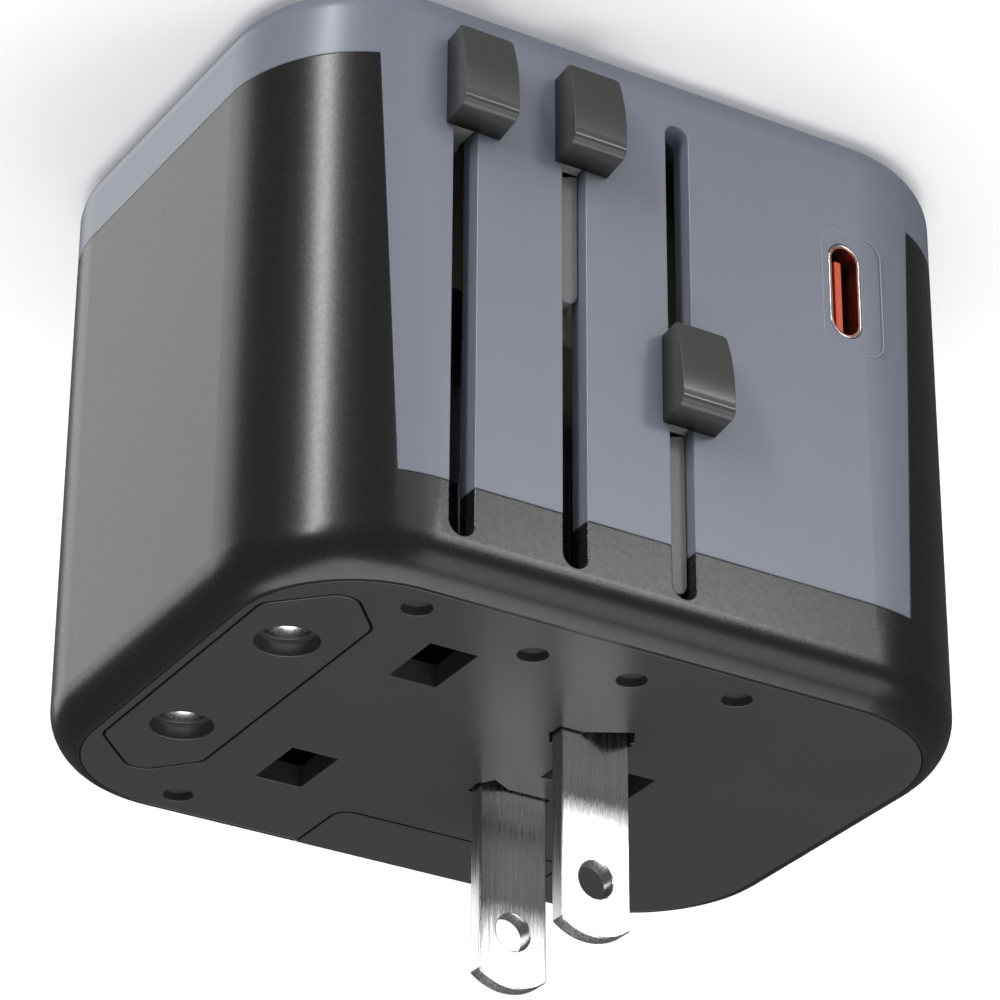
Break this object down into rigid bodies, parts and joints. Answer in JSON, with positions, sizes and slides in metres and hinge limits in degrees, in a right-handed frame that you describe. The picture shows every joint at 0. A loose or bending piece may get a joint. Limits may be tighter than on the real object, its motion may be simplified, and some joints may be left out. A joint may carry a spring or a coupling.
{
  "type": "universal travel adapter",
  "caption": "Palm-sized travel adapter block with sliding EU, UK and US/AUS pins moved by thumb knobs, a universal outlet and a USB-C port",
  "frame": {"origin": "centre of the outlet face, between the middles of the side walls, on the plane that the adapter stands on", "axes": "+Z is the way the plug pins point, -Y is the face with the three knobs, +X is the EU plug's side and -X the USB side"},
  "size_m": [0.0676, 0.0541, 0.0708],
  "materials": {
    "black_plastic": "satin black moulded polycarbonate",
    "grey_plastic": "satin blue-grey moulded polycarbonate",
    "outlet_plastic": "fine matt dark grey",
    "shutter_plastic": "plain light grey",
    "ivory_plastic": "plain ivory insulator",
    "carriage_plastic": "smooth mid grey acetal",
    "knob_plastic": "satin warm dark grey",
    "sleeve_plastic": "black insulating sleeve",
    "orange_plastic": "orange moulded tongue",
    "polished_pin": "bright nickel plate over brass",
    "nickel_plate": "nickel-plated sheet",
    "contact_brass": "plain rolled brass",
    "board_green": "green solder mask",
    "winding_tape": "yellow winding tape",
    "capacitor_sleeve": "dark blue shrink sleeve",
    "ceramic": "white glazed tube"
  },
  "bodies": {
    "base": {"main_shell": "black_plastic", "socket_cover": "grey_plastic", "socket_face": "outlet_plastic", "plug_plate": "black_plastic", "plate_pegs": "black_plastic", "contact_block": "ivory_plastic", "live_contact": "contact_brass", "neutral_contact": "contact_brass", "earth_contact": "contact_brass", "live_busbar": "nickel_plate", "neutral_busbar": "contact_brass", "usb_board": "board_green", "usb_c_shell": "nickel_plate", "usb_c_tongue": "orange_plastic", "transformer": "winding_tape", "capacitors": "capacitor_sleeve", "fuse_clips": "contact_brass"},
    "shutter_plate": {"shutter": "shutter_plastic"},
    "fuse_holder": {"fuse_drawer": "black_plastic", "fuse_tube": "ceramic", "fuse_caps": "nickel_plate"},
    "eu_plug_block": {"eu_block": "black_plastic"},
    "eu_slide": {"eu_carriage": "carriage_plastic", "eu_knob": "knob_plastic", "eu_pins": "polished_pin", "eu_pin_sleeves": "sleeve_plastic"},
    "uk_slide": {"uk_carriage": "carriage_plastic", "uk_knob": "knob_plastic", "uk_line_pins": "contact_brass", "uk_pin_sleeves": "sleeve_plastic", "uk_earth_pin": "contact_brass"},
    "us_slide": {"us_carriage": "carriage_plastic", "us_knob": "knob_plastic"},
    "front_blade": {"us_blade_front": "polished_pin", "blade_hub_front": "contact_brass"},
    "back_blade": {"us_blade_back": "polished_pin", "blade_hub_back": "contact_brass"}
  },
  "joints": [
    {"name": "eu_block_slide", "type": "slide", "parent": "base", "child": "eu_plug_block", "axis": [0, 0, 1], "range_m": [0, 0.016]},
    {"name": "eu_pin_slide", "type": "slide", "parent": "eu_plug_block", "child": "eu_slide", "axis": [0, 0, 1], "range_m": [0, 0.019]},
    {"name": "uk_plug_slide", "type": "slide", "parent": "base", "child": "uk_slide", "axis": [0, 0, 1], "range_m": [0, 0.0237]},
    {"name": "us_plug_slide", "type": "slide", "parent": "base", "child": "us_slide", "axis": [0, 0, 1], "range_m": [-0.0185, 0]},
    {"name": "front_blade_turn", "type": "hinge", "parent": "us_slide", "child": "front_blade", "pos_m": [-0.00281, -0.00702, 0.05], "axis": [0, 0, 1], "range_deg": [0, 30]},
    {"name": "back_blade_turn", "type": "hinge", "parent": "us_slide", "child": "back_blade", "pos_m": [-0.00281, 0.00568, 0.05], "axis": [0, 0, 1], "range_deg": [-30, 0]},
    {"name": "fuse_drawer_slide", "type": "slide", "parent": "base", "child": "fuse_holder", "axis": [0, 1, 0], "range_m": [0, 0.009]},
    {"name": "shutter_slide", "type": "slide", "parent": "base", "child": "shutter_plate", "axis": [0, 1, 0], "range_m": [0, 0.009], "stiffness_N_per_m": 20}
  ]
}
